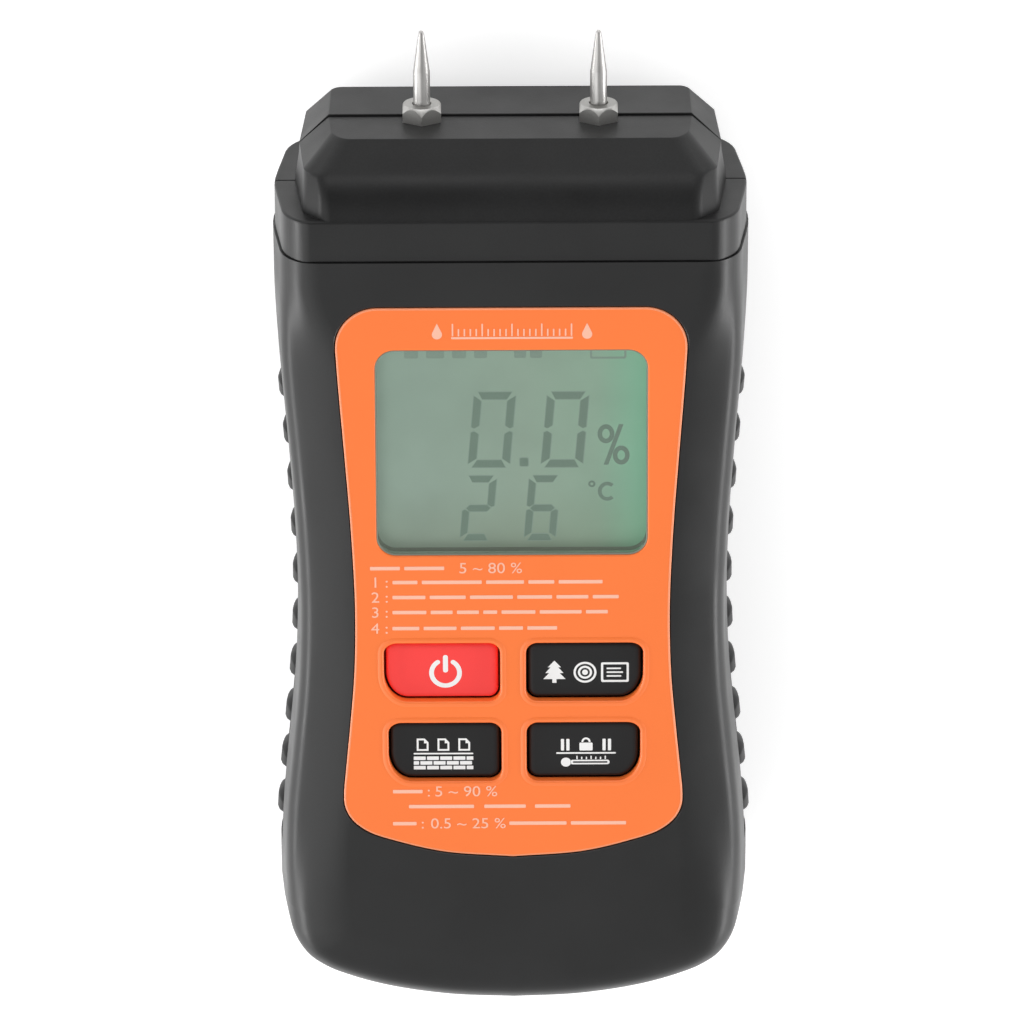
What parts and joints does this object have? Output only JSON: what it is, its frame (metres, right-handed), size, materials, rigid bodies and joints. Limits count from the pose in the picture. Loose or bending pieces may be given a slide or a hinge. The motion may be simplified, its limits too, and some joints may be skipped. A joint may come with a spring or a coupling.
{
  "type": "pin moisture meter",
  "caption": "Handheld pin-type moisture meter: waisted two-part casing, ribbed sides, recessed display and keypad in a bright faceplate, paired electrode pins on top.",
  "frame": {"origin": "middle of the bounding box in plan, on the flat back that the meter lies on", "axes": "+Z out of the display, +Y towards the electrode pins, +X to the right as the display is read"},
  "size_m": [0.0684, 0.1478, 0.034],
  "materials": {
    "casing": "fine moulded texture, satin",
    "grip_rubber": "matt",
    "faceplate": "printed satin film",
    "lens": "clear, polished",
    "red_key": "matt silicone",
    "black_key": "matt silicone",
    "carbon": "matt",
    "silicone": "matt",
    "board": "solder mask",
    "inner_plastic": "matt",
    "white_plastic": "matt",
    "display": "liquid-crystal glass",
    "chip": "matt",
    "capacitor": "shrink sleeve",
    "pin_steel": "turned stainless",
    "brass": "turned",
    "zinc": "zinc plated",
    "red_wire": "insulation",
    "black_wire": "insulation",
    "battery_jacket": "printed can"
  },
  "bodies": {
    "root": {"backlight_led": "white_plastic", "battery": "battery_jacket", "battery_clip": "chip", "battery_lead_black": "black_wire", "battery_lead_red": "red_wire", "battery_socket": "zinc", "battery_stud": "zinc", "board_screw_1": "zinc", "board_screw_2": "zinc", "board_screw_3": "zinc", "board_screw_4": "zinc", "buffer_capacitor": "capacitor", "circuit_board": "board", "controller_chip": "chip", "display_lens": "lens", "faceplate": "faceplate", "front_shell": "casing", "keypad_mat": "silicone", "lcd_backlight": "white_plastic", "lcd_connector": "silicone", "lcd_frame": "inner_plastic", "lcd_glass": "display", "left_grip": "grip_rubber", "left_pin": "pin_steel", "left_pin_lead": "red_wire", "left_pin_socket": "brass", "measuring_chip": "chip", "rear_shell": "casing", "right_grip": "grip_rubber", "right_pin": "pin_steel", "right_pin_lead": "black_wire", "right_pin_socket": "brass", "shell_screw_1": "zinc", "shell_screw_2": "zinc", "shell_screw_3": "zinc", "shell_screw_4": "zinc", "temperature_sensor": "chip"},
    "battery_door": {"battery_door": "casing", "battery_pad": "silicone"},
    "power_key": {"power_key": "red_key", "power_key_contact": "carbon"},
    "wood_key": {"wood_key": "black_key", "wood_key_contact": "carbon"},
    "paper_wall_key": {"paper_wall_key": "black_key", "paper_wall_key_contact": "carbon"},
    "hold_key": {"hold_key": "black_key", "hold_key_contact": "carbon"}
  },
  "joints": [
    {"name": "battery_door_hinge", "type": "hinge", "parent": "root", "child": "battery_door", "pos_m": [0, -0.0659, 0.0003], "axis": [-1, 0, 0], "range_deg": [0, 75]},
    {"name": "power_key_press", "type": "slide", "parent": "root", "child": "power_key", "axis": [0, 0, -1], "range_m": [0, 0.0008], "stiffness_N_per_m": 1500},
    {"name": "wood_key_press", "type": "slide", "parent": "root", "child": "wood_key", "axis": [0, 0, -1], "range_m": [0, 0.0008], "stiffness_N_per_m": 1500},
    {"name": "paper_wall_key_press", "type": "slide", "parent": "root", "child": "paper_wall_key", "axis": [0, 0, -1], "range_m": [0, 0.0008], "stiffness_N_per_m": 1500},
    {"name": "hold_key_press", "type": "slide", "parent": "root", "child": "hold_key", "axis": [0, 0, -1], "range_m": [0, 0.0008], "stiffness_N_per_m": 1500}
  ]
}
